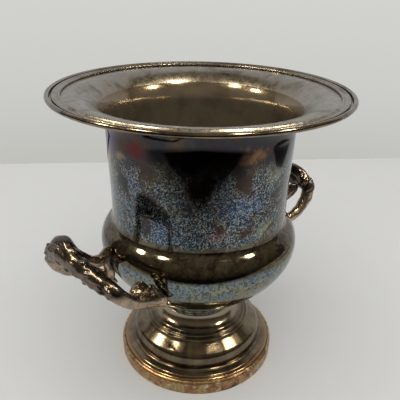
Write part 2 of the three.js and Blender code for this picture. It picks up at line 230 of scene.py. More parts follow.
# ---------------------------------------------------------------- material nodes
class Graph:
    """The nodes of a material, a metal at first, added one call at a time. Sizes are in millimetres."""

    def __init__(self, name):
        self.material = bpy.data.materials.new(name)
        self.material.use_nodes = True
        self.tree = self.material.node_tree
        self.shader = self.tree.nodes["Principled BSDF"]
        self.shader.inputs["Metallic"].default_value = 1.0
        self.place = self.add("ShaderNodeTexCoord").outputs["Object"]
        self.z = self.add("ShaderNodeSeparateXYZ", Vector=self.place).outputs["Z"]

    def add(self, kind, operation=None, **inputs):
        """A node with its operation, if it has one, and its inputs fed by name."""
        node = self.tree.nodes.new(kind)
        if operation:
            node.operation = operation
        for name, value in inputs.items():
            self.feed(node.inputs[name], value)
        return node

    def feed(self, socket, value):
        """Links another node's output to a socket, or sets its value; a colour may leave out alpha."""
        if isinstance(value, bpy.types.NodeSocket):
            self.tree.links.new(value, socket)
        elif isinstance(value, tuple) and len(value) == 3 and socket.type == "RGBA":
            socket.default_value = (*value, 1)
        else:
            socket.default_value = value

    def stretched(self, x=1, y=1, z=1, shift=0):
        """The object's coordinates, stretched along its axes and shifted for another pattern."""
        node = self.add("ShaderNodeMapping", Vector=self.place)
        node.inputs["Scale"].default_value = (x, y, z)
        node.inputs["Location"].default_value = (shift, shift * 0.7, -shift)
        return node.outputs[0]

    def round(self):
        """The direction from the axis, the same at every height and radius: for radial streaks."""
        level = self.add("ShaderNodeVectorMath", "MULTIPLY", Vector=self.place)
        level.inputs[1].default_value = (1, 1, 0)
        return self.add("ShaderNodeVectorMath", "NORMALIZE", Vector=level.outputs[0]).outputs[0]

    def noise(self, size, detail=3, rough=0.55, twist=0.0, place=None, shift=0.0):
        """A pattern from 0 to 1 whose grains have about a size; a shift gives another pattern."""
        where = place or (self.stretched(shift=shift) if shift else self.place)
        node = self.add("ShaderNodeTexNoise", Vector=where)
        node.inputs["Scale"].default_value = 1 / (size * MM)
        node.inputs["Detail"].default_value = detail
        node.inputs["Roughness"].default_value = rough
        node.inputs["Distortion"].default_value = twist
        return node.outputs["Fac"]

    def span(self, value, low, high, to_low=0.0, to_high=1.0):
        """value from low..high, moved smoothly to to_low..to_high."""
        node = self.add("ShaderNodeMapRange", Value=value)
        node.interpolation_type = "SMOOTHSTEP"
        node.inputs["From Min"].default_value = low
        node.inputs["From Max"].default_value = high
        node.inputs["To Min"].default_value = to_low
        node.inputs["To Max"].default_value = to_high
        return node.outputs[0]

    def math(self, kind, a, b=0.0):
        node = self.add("ShaderNodeMath", kind)
        self.feed(node.inputs[0], a)
        self.feed(node.inputs[1], b)
        return node.outputs[0]

    def mix(self, share, a, b, kind="MIX"):
        """Colour a with a share of colour b; the Mix node's colour sockets go by number."""
        node = self.tree.nodes.new("ShaderNodeMix")
        node.data_type = "RGBA"
        node.blend_type = kind
        self.feed(node.inputs[0], share)
        self.feed(node.inputs[6], a)
        self.feed(node.inputs[7], b)
        return node.outputs[2]

    def ramp(self, value, *stops):
        """A colour from stops of (position, colour)."""
        node = self.add("ShaderNodeValToRGB", Fac=value)
        marks = node.color_ramp.elements
        while len(marks) < len(stops):
            marks.new(0.5)
        for mark, (at, colour) in zip(marks, stops):
            mark.position = at
            mark.color = (*colour, 1)
        return node.outputs[0]

    def band(self, low, high, soft, wobble=None):
        """1 between two heights in millimetres, falling to 0 over soft; wobble moves the edges."""
        height = self.z
        if wobble is not None:
            height = self.math("ADD", height, self.math("MULTIPLY", wobble, soft * MM))
        up = self.span(height, (low - soft) * MM, (low + soft) * MM)
        down = self.span(height, (high - soft) * MM, (high + soft) * MM, 1.0, 0.0)
        return self.math("MULTIPLY", up, down)

    def bump(self, height, depth, before=None):
        """A bump of a depth in millimetres."""
        node = self.add("ShaderNodeBump", Height=height)
        node.inputs["Distance"].default_value = depth * MM
        node.inputs["Strength"].default_value = 1.0
        if before is not None:
            self.feed(node.inputs["Normal"], before)
        return node.outputs[0]

    def done(self, colour, roughness, normal=None):
        """The finished material."""
        self.feed(self.shader.inputs["Base Color"], colour)
        self.feed(self.shader.inputs["Roughness"], roughness)
        if normal is not None:
            self.feed(self.shader.inputs["Normal"], normal)
        return self.material


def scratches(g, size, shift):
    """Fine polishing lines round the turned pieces, as a height."""
    return g.noise(size, 2, 0.6, place=g.stretched(0.15, 0.15, 3.0, shift))


def tarnish_patch(g, turn, height, size, flat=1.0):
    """1 at a place on the wall, fading out raggedly. Its turn is in degrees to the right of the side
    that faces the camera, and its flatness is how much wider it is than tall.
    """
    angle = HEADING + math.pi + math.radians(turn)
    centre = Vector((WALL_R * math.cos(angle), WALL_R * math.sin(angle), height)) * MM
    apart = g.add("ShaderNodeVectorMath", "SUBTRACT", Vector=g.place)
    apart.inputs[1].default_value = centre
    shaped = g.add("ShaderNodeVectorMath", "MULTIPLY", Vector=apart.outputs[0])
    shaped.inputs[1].default_value = (1, 1, flat)
    far = g.add("ShaderNodeVectorMath", "LENGTH", Vector=shaped.outputs[0])
    ragged = g.math("MULTIPLY", g.noise(size * 0.6, 5, 0.7, shift=0.01 * turn), 3 * size * MM)
    away = g.math("ADD", far.outputs["Value"], ragged)
    return g.span(away, size * 1.5 * MM, size * 2.5 * MM, 1.0, 0.0)


# Patches of tarnish on the wall: turn, height, size, flatness and colour.
SMOOTH_PATCHES = [
    (-62, 222, 16, 1.0, (0.06, 0.045, 0.12)),
    (-37, 222, 13, 1.3, (0.12, 0.028, 0.032)),
    (-50, 213, 9, 2.0, (0.30, 0.21, 0.12)),
    (-70, 196, 13, 0.6, (0.32, 0.20, 0.14)),
    (-18, 192, 13, 0.5, (0.22, 0.22, 0.10)),
    (28, 222, 14, 1.6, (0.22, 0.13, 0.07)),
]
SPECKED_PATCHES = [
    (-21, 163, 13, 0.9, (0.020, 0.055, 0.15)),
    (-38, 196, 13, 0.8, (0.032, 0.038, 0.10)),
    (24, 183, 22, 1.0, (0.020, 0.045, 0.13)),
    (10, 161, 13, 1.5, (0.12, 0.04, 0.07)),
    (44, 158, 14, 1.4, (0.24, 0.24, 0.13)),
    (47, 206, 12, 0.7, (0.20, 0.19, 0.12)),
]


def shoulder_olive(g, grain):
    """The shoulder's olive brown."""
    olive = g.ramp(
        g.noise(11, 4, 0.65, 0.5, shift=0.83),
        (0.34, (0.060, 0.038, 0.034)),
        (0.46, (0.090, 0.068, 0.045)),
        (0.58, (0.165, 0.14, 0.085)),
        (0.68, (0.095, 0.088, 0.08)),
    )
    return g.mix(g.span(grain, 0.53, 0.62, 0.0, 0.6), olive, (0.24, 0.22, 0.15))


def underside_blotches(g, broad, patch, speck, grain):
    """Pale blue-grey and straw under the belly, with dark blotches."""
    pale = g.mix(g.span(patch, 0.4, 0.60), (0.22, 0.265, 0.30), (0.30, 0.295, 0.19))
    dark = g.mix(g.span(broad, 0.4, 0.60), (0.045, 0.07, 0.10), (0.065, 0.08, 0.072))
    blotch = g.math("ADD", g.math("MULTIPLY", speck, 0.35), g.math("MULTIPLY", grain, 0.65))
    return g.mix(g.span(blotch, 0.43, 0.53), dark, pale)


def tarnished_wall():
    """Silver plate with iridescent tarnish: dark and smooth near the wall's top, blue and teal with fine
    pale specks lower down, olive on the shoulder, and pale with dark specks under the belly.
    """
    g = Graph("tarnished_wall")
    broad = g.noise(42, 3, 0.55, 0.6)
    patch = g.noise(24, 4, 0.6, 0.8, shift=0.31)
    speck = g.noise(1.0, 2, 0.75, shift=0.12)
    grain = g.noise(2.4, 3, 0.75, shift=0.57)
    smooth = g.ramp(
        broad,
        (0.30, (0.070, 0.034, 0.029)),
        (0.42, (0.070, 0.053, 0.042)),
        (0.50, (0.048, 0.041, 0.048)),
        (0.60, (0.044, 0.047, 0.058)),
        (0.72, (0.095, 0.076, 0.047)),
    )
    cool = g.ramp(
        patch,
        (0.30, (0.026, 0.014, 0.034)),
        (0.45, (0.014, 0.021, 0.055)),
        (0.56, (0.022, 0.038, 0.050)),
        (0.72, (0.060, 0.058, 0.040)),
    )
    for turn, height, size, flat, colour in SMOOTH_PATCHES:
        smooth = g.mix(tarnish_patch(g, turn, height, size, flat), smooth, colour)
    for turn, height, size, flat, colour in SPECKED_PATCHES:
        cool = g.mix(tarnish_patch(g, turn, height, size, flat), cool, colour)
    pale = g.mix(g.span(patch, 0.38, 0.62), (0.50, 0.47, 0.29), (0.33, 0.41, 0.48))
    fine = g.math("ADD", g.math("MULTIPLY", speck, 0.7), g.math("MULTIPLY", grain, 0.3))
    specked = g.mix(g.span(fine, 0.505, 0.575), cool, pale)
    where = g.math("MULTIPLY", g.band(140, 214, 10, g.noise(16, 3)), g.span(patch, 0.36, 0.48))
    where = g.math("MULTIPLY", where, g.math("SUBTRACT", 1.0, tarnish_patch(g, 3, 203, 24, 0.8)))
    wall = g.mix(where, smooth, specked)
    shoulder = g.band(128, 151, 3, g.noise(14, 2))
    wall = g.mix(shoulder, wall, shoulder_olive(g, grain))
    underside = g.band(0, 128, 3, g.noise(14, 2))
    wall = g.mix(underside, wall, underside_blotches(g, broad, patch, speck, grain))
    roughness = g.span(fine, 0.35, 0.65, 0.05, 0.13)
    wobble = g.bump(g.noise(26, 2), 0.08)
    normal = g.bump(scratches(g, 1.6, 0.4), 0.0015, wobble)
    g.feed(g.shader.inputs["Metallic"], g.math("SUBTRACT", 1.0, g.math("MULTIPLY", where, 0.16)))
    return g.done(wall, roughness, normal)


def tarnished_inside():
    """The brown-gold inside of the bowl, darker where its throat flares: painted shade that tones down the
    light the flare mirrors.
    """
    g = Graph("tarnished_inside")
    g.shader.inputs["Metallic"].default_value = 0.72
    patch = g.noise(26, 4, 0.6, 0.5, shift=0.2)
    speck = g.noise(2.4, 3, 0.7, shift=0.7)
    brown = g.ramp(
        patch,
        (0.30, (0.33, 0.265, 0.20)),
        (0.50, (0.49, 0.41, 0.31)),
        (0.70, (0.58, 0.51, 0.39)),
    )
    # Painted shade: the flaring throat is darker than the inside below it.
    below_throat = g.band(0, 236, 6)
    painted_throat_shade = g.mix(below_throat, (0.44, 0.38, 0.29), (0.66, 0.63, 0.58))
    colour = g.mix(g.span(speck, 0.52, 0.66, 0.0, 0.35), brown, (0.30, 0.24, 0.19))
    colour = g.mix(1.0, colour, painted_throat_shade, "MULTIPLY")
    roughness = g.span(speck, 0.3, 0.7, 0.10, 0.22)
    normal = g.bump(scratches(g, 1.8, 0.2), 0.002, g.bump(g.noise(24, 2), 0.08))
    return g.done(colour, roughness, normal)


def tarnished_flange():
    """The flange's mottled grey silver."""
    g = Graph("tarnished_flange")
    patch = g.noise(20, 4, 0.6, 0.6, shift=0.9)
    speck = g.noise(3.5, 4, 0.7, shift=0.4)
    grey = g.ramp(
        patch,
        (0.32, (0.18, 0.155, 0.12)),
        (0.46, (0.34, 0.30, 0.235)),
        (0.60, (0.40, 0.36, 0.31)),
        (0.74, (0.45, 0.395, 0.28)),
    )
    colour = g.mix(g.span(speck, 0.55, 0.72, 0.0, 0.7), grey, (0.20, 0.165, 0.14))
    roughness = g.span(speck, 0.3, 0.7, 0.19, 0.34)
    normal = g.bump(scratches(g, 2.0, 0.8), 0.002, g.bump(g.noise(22, 2), 0.06))
    return g.done(colour, roughness, normal)


def tarnished_lip():
    """The rolled edge: dark brown and smooth."""
    g = Graph("tarnished_lip")
    patch = g.noise(18, 3, 0.6, 0.4, shift=0.33)
    colour = g.ramp(
        patch,
        (0.34, (0.10, 0.075, 0.06)),
        (0.50, (0.24, 0.19, 0.14)),
        (0.66, (0.34, 0.27, 0.18)),
    )
    return g.done(colour, g.span(g.noise(3, 3), 0.3, 0.7, 0.08, 0.18), g.bump(g.noise(16, 2), 0.04))


def tarnished_foot():
    """The foot's brown-gold: streaked from the neck outwards, with dark stains, a neck painted paler as a
    painted reflection of the light it mirrors, and coppery lowest steps.
    """
    g = Graph("tarnished_foot")
    patch = g.noise(18, 4, 0.6, 0.4, shift=0.6)
    speck = g.noise(2.2, 3, 0.7, shift=0.3)
    streak = g.noise(140, 4, 0.7, place=g.round())
    gold = g.ramp(
        g.math("ADD", g.math("MULTIPLY", patch, 0.6), g.math("MULTIPLY", streak, 0.4)),
        (0.34, (0.105, 0.075, 0.060)),
        (0.46, (0.155, 0.12, 0.083)),
        (0.60, (0.255, 0.21, 0.135)),
    )
    stains_and_neck_sheen = g.mix(g.span(speck, 0.56, 0.70, 0.0, 0.6), gold, (0.13, 0.095, 0.07))
    # Painted reflection: the neck is painted paler for the light that it mirrors.
    painted_neck_sheen_mask = g.band(43.5, 60, 1.5)
    stains_and_neck_sheen = g.mix(g.math("MULTIPLY", painted_neck_sheen_mask, 0.6), stains_and_neck_sheen, (0.46, 0.38, 0.28))
    low_steps = g.band(0, 15.6, 2, g.noise(7, 3))
    worn = g.mix(low_steps, stains_and_neck_sheen, (0.38, 0.25, 0.14))
    roughness = g.span(g.math("ADD", speck, streak), 0.7, 1.3, 0.13, 0.26)
    normal = g.bump(scratches(g, 1.4, 0.5), 0.0015, g.bump(g.noise(16, 2), 0.05))
    return g.done(worn, roughness, normal)


def worn_band_metal():
    """The coppery, rubbed base band."""
    g = Graph("worn_band_metal")
    patch = g.noise(14, 4, 0.6, 0.4, shift=0.15)
    speck = g.noise(1.8, 4, 0.7, shift=0.75)
    copper = g.ramp(
        patch,
        (0.32, (0.13, 0.085, 0.055)),
        (0.46, (0.42, 0.22, 0.11)),
        (0.58, (0.52, 0.38, 0.18)),
        (0.70, (0.26, 0.25, 0.17)),
    )
    colour = g.mix(g.span(speck, 0.52, 0.62, 0.0, 0.85), copper, (0.085, 0.06, 0.045))
    colour = g.mix(g.span(g.noise(5, 3, shift=0.37), 0.60, 0.66, 0.0, 0.8), colour, (0.72, 0.62, 0.48))
    roughness = g.span(speck, 0.3, 0.7, 0.22, 0.45)
    normal = g.bump(g.noise(1.2, 3, shift=0.2), 0.05)
    return g.done(colour, roughness, normal)


def collar_metal():
    """Greenish-grey plate at the neck."""
    g = Graph("collar_metal")
    patch = g.noise(8, 4, 0.6, shift=0.25)
    colour = g.ramp(
        patch,
        (0.36, (0.10, 0.10, 0.085)),
        (0.50, (0.33, 0.34, 0.29)),
        (0.62, (0.52, 0.50, 0.40)),
    )
    roughness = g.span(g.noise(2, 3), 0.3, 0.7, 0.22, 0.42)
    return g.done(colour, roughness, g.bump(g.noise(1.5, 3, shift=0.1), 0.04))


def cast_metal():
    """The handles' cast metal: dark in the hollows, coppery on the legs and paler on raised edges."""
    g = Graph("cast_metal")
    raised = g.add("ShaderNodeNewGeometry").outputs["Pointiness"]
    patch = g.noise(13, 4, 0.6, 0.5, shift=0.45)
    speck = g.noise(1.6, 4, 0.7, shift=0.05)
    bronze = g.ramp(
        patch,
        (0.32, (0.070, 0.055, 0.045)),
        (0.48, (0.130, 0.107, 0.088)),
        (0.64, (0.19, 0.145, 0.113)),
    )
    rubbed = g.mix(g.span(patch, 0.38, 0.62), (0.34, 0.275, 0.205), (0.52, 0.385, 0.28))
    legs = g.band(0, 137, 4, g.noise(10, 2))
    bronze = g.mix(legs, bronze, rubbed)
    dark = g.mix(g.span(speck, 0.5, 0.68, 0.0, 0.6), bronze, (0.08, 0.065, 0.055))
    hollow = g.mix(g.span(raised, 0.44, 0.50), (0.04, 0.034, 0.028), dark)
    colour = g.mix(g.span(raised, 0.51, 0.60), hollow, (0.42, 0.37, 0.30))
    roughness = g.span(speck, 0.3, 0.7, 0.18, 0.34)
    normal = g.bump(g.noise(3.2, 3, 0.6, 0.4, shift=0.65), 0.22, g.bump(g.noise(1.1, 2), 0.02))
    return g.done(colour, roughness, normal)


def wire_metal():
    """The brassy wire inside the rolled edge."""
    g = Graph("wire_metal")
    colour = g.mix(g.noise(6, 3), (0.40, 0.28, 0.13), (0.20, 0.15, 0.10))
    return g.done(colour, g.span(g.noise(2, 3), 0.3, 0.7, 0.3, 0.55), g.bump(g.noise(0.8), 0.03))


def steel_metal():
    """Zinc-plated fasteners with dull patches and a little rust."""
    g = Graph("steel_metal")
    zinc = g.mix(g.noise(4, 3), (0.42, 0.43, 0.45), (0.58, 0.58, 0.57))
    rust = g.span(g.noise(5, 4, 0.7, shift=0.5), 0.58, 0.70, 0.0, 0.8)
    colour = g.mix(rust, zinc, (0.22, 0.10, 0.05))
    return g.done(colour, g.span(g.noise(3, 3), 0.3, 0.7, 0.28, 0.55), g.bump(g.noise(0.9), 0.02))


def stage_paint(name, colour, roughness, with_painted_shade=False):
    """A faintly mottled paint. One with painted shade darkens towards the camera's side of the table."""
    g = Graph(name)
    g.shader.inputs["Metallic"].default_value = 0.0
    paint = g.mix(g.noise(60, 4, 0.6), colour, tuple(0.965 * c for c in colour))
    if with_painted_shade:
        # Painted shade: the table grows darker towards the camera's side.
        nearer = g.add("ShaderNodeVectorMath", "DOT_PRODUCT", Vector=g.place)
        nearer.inputs[1].default_value = (-math.cos(HEADING), -math.sin(HEADING), 0)
        painted_shade = g.span(nearer.outputs["Value"], 0.24, 0.42, 0.0, 0.85)
        paint = g.mix(painted_shade, paint, (0.04, 0.035, 0.03))
    return g.done(paint, g.span(g.noise(30), 0.3, 0.7, roughness, roughness + 0.08))


# ---------------------------------------------------------------- turned pieces
def bowl():
    """The bowl, whose faces are outside, inside, flange or lip by where they are and how they face."""
    outside = bowl_outside()
    inside = moved_outline(outside, SHEET)
    made = turned("bowl", [*outside, *inside[::-1]], tarnished_wall())
    for metal in (tarnished_inside, tarnished_flange, tarnished_lip):
        made.data.materials.append(metal())
    inside_slot, flange_slot, lip_slot = 1, 2, 3
    throat_top = THROAT_Z + FLARE_R * 0.62
    for face in made.data.polygons:
        centre, out = face.center / MM, face.normal
        radial = centre.x * out.x + centre.y * out.y
        radius = math.hypot(centre.x, centre.y)
        if radius > RIM_R - 1.2 * ROLL_R:
            face.material_index = lip_slot
        elif centre.z > throat_top and out.z > 0:
            face.material_index = flange_slot
        elif radial < 0 and radius < BULGE_R and (centre.z > FLOOR_Z + 0.7 or out.z > 0):
            face.material_index = inside_slot
        elif out.z > 0.3 and centre.z < FLOOR_Z + 3:
            face.material_index = inside_slot
    return made


def border():
    """The applied border: a bead at each edge, and a field of faint lobes between them."""
    low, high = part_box("rim_border")
    floor = low.z / MM + 0.25
    top = high.z / MM - INSIDE_BOX
    bead = BORDER_BEAD_R
    line = Outline(BORDER_IN_R, floor)
    line.line(BORDER_OUT_R - 1.8, floor).line(BORDER_OUT_R, floor - 0.1)
    line.arc(BORDER_OUT_R - bead, top - 0.2 - bead, bead, 0, 150)
    field_out = BORDER_OUT_R - 2 * bead
    field_in = BORDER_IN_R + 2 * bead
    field_z = top - bead - 0.35
    for share in (0.2, 0.4, 0.6, 0.8):
        line.line(field_out + (field_in - field_out) * share, field_z)
    line.arc(BORDER_IN_R + bead, top - bead, bead, 30, 180)

    def lobed(r, z, angle):
        depth = math.sin(math.pi * min(max((r - field_in) / (field_out - field_in), 0), 1))
        if z < field_z - 0.1:
            depth = 0
        return r, z + LOBE_HEIGHT * depth * (abs(math.sin(angle * BORDER_LOBES / 2)) - 0.4)

    return turned("border", line.points, tarnished_flange(), TURNS * 2, lobed)


def collar():
    """The collar, with a round edge below and above a slight waist."""
    low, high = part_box("neck_collar")
    low_z, high_z, out = low.z / MM, high.z / MM, high.y / MM - INSIDE_BOX
    middle = (low_z + high_z) / 2
    line = Outline(COLLAR_IN_R, low_z).line(out - 1.6, low_z)
    line.bezier((out + 1.3, low_z + 1.0), (out - 0.6, middle))
    line.bezier((out + 0.6, high_z - 1.0), (out - 1.6, high_z)).line(COLLAR_IN_R, high_z)
    return turned("collar", line.points, collar_metal(), TURNS // 2)


def foot():
    """The foot: rounded steps, an upright round edge, a straight flank, two beads and a neck cove."""
    skirt_r = STEPS[0][0]
    line = Outline(skirt_r, HEM_Z)
    for outer, low, inner, high in STEPS:
        line.line(outer, low).bezier((outer, high), (inner, high))
    line.bezier((61.3, 25), (60.3, 29), FLANK_LOW)
    for share in (0.25, 0.5, 0.75):
        line.line(*(a + (b - a) * share for a, b in zip(FLANK_LOW, FLANK_HIGH)))
    line.line(*FLANK_HIGH)
    for r, z in BEADS:
        line.arc(r, z, BEAD_R, -20, 125)
    line.line(42.9, 41.9).bezier((42.6, 42.7), NECK_LOW)
    line.bezier((37.2, 44.2), (34.4, 47.6), (33.5, FOOT_TOP_Z - 0.6))
    top = FOOT_TOP_Z - INSIDE_BOX
    line.line(32.9, top).line(20, top).line(STUD_HOLE_R, top)

    under = Outline(skirt_r - SHEET, HEM_Z).line(skirt_r - SHEET, SKIRT_Z)
    under.line(STEPS[-1][2] - 0.9, STEPS[-1][3] - 1.2)
    under.bezier((60.3, 24.5), (59.3, 28.3), UNDER_FLANK_LOW)
    under.line(*UNDER_FLANK_HIGH).line(*UNDER_NECK_LOW)
    top = FOOT_TOP_Z - SHEET
    under.bezier((36.4, 43.5), (33.4, 47.2), (32.4, top)).line(20, top).line(STUD_HOLE_R, top)
    return turned("foot_bell", [*line.points, *under.points[::-1]], tarnished_foot())


def band():
    """The base band, a little dented and uneven from use."""
    out = BAND_OUT_R
    line = Outline(BAND_IN_R, 0).line(out - 0.6, 0).bezier((out, 0), (out, 0.7))
    line.line(out, 4).line(out, 8).line(out, 9.6).bezier((out, 11.4), (BAND_IN_R + 0.5, SKIRT_Z))
    line.line(BAND_IN_R, SKIRT_Z - 0.2)

    def dented(r, z, angle):
        if r < BAND_IN_R + 0.6:
            return r, z
        around = Vector((math.cos(angle) * 2.4, math.sin(angle) * 2.4, z * 0.05))
        return r - 0.10 - 0.12 * noise.noise(around), z

    return turned("base_band", line.points, worn_band_metal(), TURNS, dented)


def wire():
    """The ring of wire, as the CAD has it."""
    low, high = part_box("rim_wire")
    size = (high.z - low.z) / MM / 2
    middle = (high.z + low.z) / MM / 2
    ring = high.y / MM - size
    line = Outline(ring + size, middle).arc(ring, middle, size, 0, 345)
    return turned("edge_wire", line.points, wire_metal(), TURNS)


# ---------------------------------------------------------------- handles
# The branches of the right handle. A station is a point on a branch's centre line, x, y and z, and
# the section's height and depth there.
VINE = [
    (78.5, -21, 98, 5, 5), (90, -30, 108.5, 8.5, 8), (104, -37, 114.5, 10, 9.5),
    (115, -39, 121.5, 11, 10.5), (122.5, -39.5, 131.5, 12.5, 12), (124.5, -36.5, 142, 16, 12.5),
    (126.5, -18, 146, 18, 12.5), (127, 0, 145.5, 17.5, 12), (126.5, 17, 143, 15.5, 11.5),
    (124.5, 30, 140, 13, 10.5), (120.5, 35, 134, 11, 10), (110, 36, 124, 10, 9.5),
    (97, 36, 117.5, 10, 9.5), (85, 34.5, 111, 9.5, 8.5), (75.5, 36.5, 104.5, 6, 6),
]
GRIP = VINE[4:10]
CREST = [
    (126, 3, 148.5, 8, 8), (125, -11, 152.5, 10, 9.5), (123, -22, 155, 10.5, 10),
    (122, -33.5, 149.5, 10.5, 11), (118, -37.5, 143, 9, 9),
]
RAISED_LEAF = [
    (117, -30, 142, 11, 9), (108, -25, 133, 11, 9), (100, -22, 128, 10, 9),
    (92, -22, 127, 10, 9), (81, -25, 132, 9, 9),
]
RAISED_SEAM = [(86, -25, 130, 7, 9), (85, -26, 118, 7, 10), (80, -24, 103, 6, 8)]
LOW_LEAF = [(110, 35, 125, 8, 8), (101, 33, 123, 8.5, 8.5), (94, 31, 122.5, 8, 8), (89, 30, 121, 7, 7)]
LOW_KNOB = [(106, 31, 124, 8, 8), (99, 28.5, 125, 11, 11), (90, 25, 123, 8, 8)]
LOW_SEAM = [(89, 29, 124, 8, 8), (86, 32, 117, 8, 9), (77, 37, 106, 7, 7)]

BRANCH_SIDES = 28              # faces round a branch
RIDGES = 5                     # ridges that wind round a branch
END_STRETCH = 0.6              # how much of a stretch between stations an end takes to round off
GRIP_ROWS = (-0.55, 0.35, 1.05)    # where the grip's rows of leaves are, in radians up from outwards
LEAF_SINK = 0.86               # where a leaf's middle is, as a share of the grip's half size
SKIN_GRAIN = 0.62              # size of the grid on which the parts of a handle are merged
PAST_THROAT = 40               # points at the end of the bowl's outline, which no handle reaches
CLEAR_TOP_Z = 245              # top of the body that is cut from a handle in the bowl's place


def spline(stations, count):
    """Evenly spaced stations on a smooth line through the given ones."""
    keys = np.array(stations, float)
    ends = np.vstack([2 * keys[0] - keys[1], keys, 2 * keys[-1] - keys[-2]])
    out = []
    for i in range(count + 1):
        reach = i / count * (len(keys) - 1)
        k = min(int(reach), len(keys) - 2)
        t = reach - k
        a, b, c, d = ends[k:k + 4]
        out.append(0.5 * (2 * b + (c - a) * t + (2 * a - 5 * b + 4 * c - d) * t**2
                          + (3 * b - a - 3 * c + d) * t**3))
    return np.array(out)


def branch(stations, bark, twist, lumps, steps=90, calm_from=math.inf):
    """A closed branch along its stations, with ridges that wind round it and lumps along it.
    Past calm_from, as a share of its length, it is worn nearly smooth.
    """
    line = spline(stations, steps)
    places, sizes = line[:, :3], line[:, 3:]
    along = np.gradient(places, axis=0)
    length = np.linalg.norm(along, axis=1)[:, None]
    along /= length
    run = np.cumsum(length[:, 0])
    up = np.array([0, 0, 1.0]) - along * along[:, 2:3]
    up /= np.linalg.norm(up, axis=1)[:, None]
    side = np.cross(up, along)
    vertices = []
    for i in range(steps + 1):
        to_end = min(i, steps - i) / steps * len(stations) / END_STRETCH
        end = math.sqrt(max(1 - (1 - min(to_end, 1)) ** 2, 0.02))
        rough = 1.0 if i / steps < calm_from else 0.25
        for k in range(BRANCH_SIDES):
            angle = 2 * math.pi * k / BRANCH_SIDES
            ridge = abs(math.sin(angle * RIDGES / 2 + run[i] * twist)) - 0.5
            spot = Vector(places[i] * 0.16) + Vector((math.cos(angle), math.sin(angle), 0)) * 0.9
            swell = 1 + rough * (bark * ridge + lumps * noise.noise(spot))
            tall = math.cos(angle) * sizes[i, 0] / 2 * swell * end
            deep = math.sin(angle) * sizes[i, 1] / 2 * swell * end
            vertices.append(places[i] + up[i] * tall + side[i] * deep)
    first_ring = range(BRANCH_SIDES)
    last_ring = (steps * BRANCH_SIDES + k for k in range(BRANCH_SIDES))
    faces = [tuple(first_ring)[::-1], tuple(last_ring)]
    for i in range(steps):
        here, there = i * BRANCH_SIDES, (i + 1) * BRANCH_SIDES
        for k in range(BRANCH_SIDES):
            n = (k + 1) % BRANCH_SIDES
            faces.append((here + k, here + n, there + n, there + k))
    return vertices, faces


def blob(place, size, tilt, squash):
    """A leaf-like lump: a ball of a size, flattened and then tilted about x, y and z."""
    ball = bmesh.new()
    bmesh.ops.create_icosphere(ball, subdivisions=2, radius=1.0)
    about_x, about_y, about_z = (Matrix.Rotation(a, 3, axis) for a, axis in zip(tilt, "XYZ"))
    turn = about_z @ about_y @ about_x
    vertices = []
    for v in ball.verts:
        flattened = Vector([c * size * share for c, share in zip(v.co, squash)])
        vertices.append(Vector(place) + turn @ flattened)
    faces = [tuple(v.index for v in f.verts) for f in ball.faces]
    ball.free()
    return vertices, faces


def handle_shape():
    """One casting in the right handle's place: the vine, its leaves and its knobs, not yet merged."""
    pieces = [
        branch(VINE, 0.07, 0.05, 0.10, steps=150, calm_from=0.62),
        branch(CREST, 0.10, 0.12, 0.18),
        branch(RAISED_LEAF, 0.12, 0.12, 0.18),
        branch(RAISED_SEAM, 0.12, 0.20, 0.20),
        branch(LOW_LEAF, 0.08, 0.14, 0.14),
        branch(LOW_KNOB, 0.05, 0.10, 0.10),
        branch(LOW_SEAM, 0.14, 0.30, 0.28),
    ]
    for i, (x, y, z, tall, deep) in enumerate(spline(GRIP, 11)[1:], 1):
        for row in GRIP_ROWS:
            angle = row + 0.22 * math.sin(2.3 * i + 3 * row)
            out = deep / 2 * LEAF_SINK * math.cos(angle)
            up = tall / 2 * LEAF_SINK * math.sin(angle)
            size = 3.3 + 0.7 * math.sin(i * 2.3 + row * 4)
            tilt = (0.35 * math.sin(i + row), 0.0, 0.2 * math.sin(i))
            pieces.append(blob((x + out, y, z + up), size, tilt, (0.5, 1.5, 0.5)))
    for i, (x, y, z) in enumerate(spline(LOW_SEAM, 8)[:, :3]):
        place = (x + 1.2, y + 1.8 * (-1) ** i, z + 0.6)
        pieces.append(blob(place, 2.6, (0.5, 0.4 * i, 0.8), (0.9, 0.8, 0.9)))
    pieces.append(blob((101, 30, 125), 5.6, (0, 0.2, 0.3), (1.0, 1.0, 0.95)))
    vertices, faces = [], []
    for some, joined in pieces:
        shift = len(vertices)
        vertices += list(some)
        faces += [tuple(k + shift for k in f) for f in joined]
    return vertices, faces


def handle(name, turn_round, material):
    """A handle merged into one skin, cut clear of the bowl and, for the left one, turned half round."""
    made = mesh_object(name, *handle_shape(), material)
    merge = made.modifiers.new("merge", "REMESH")
    merge.mode = "VOXEL"
    merge.voxel_size = SKIN_GRAIN * MM
    merge.use_smooth_shade = True
    relax = made.modifiers.new("relax", "SMOOTH")
    relax.factor = 0.5
    relax.iterations = 2
    below_flange = moved_outline(bowl_outside(), -SEAT)[:-PAST_THROAT]
    clear = turned("clear", [*below_flange, (0, CLEAR_TOP_Z)], None, 128)
    cut = made.modifiers.new("seat", "BOOLEAN")
    cut.operation = "DIFFERENCE"
    cut.solver = "EXACT"
    cut.object = clear
    bpy.context.view_layer.update()
    final = bpy.data.meshes.new_from_object(made.evaluated_get(bpy.context.evaluated_depsgraph_get()))
    made.modifiers.clear()
    made.data = final
    bpy.data.objects.remove(clear)
    limit = cad_high.x - INSIDE_BOX * MM
    for v in final.vertices:
        v.co.x = min(v.co.x, limit)
    if turn_round:
        final.transform(Matrix.Rotation(math.pi, 4, "Z"))
    final.materials.clear()
    final.materials.append(material)
    final.polygons.foreach_set("use_smooth", [True] * len(final.polygons))
    return made


# ---------------------------------------------------------------- assembly
def belongs(piece, slot, *nodes):
    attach(piece, "root")
    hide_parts(*nodes)


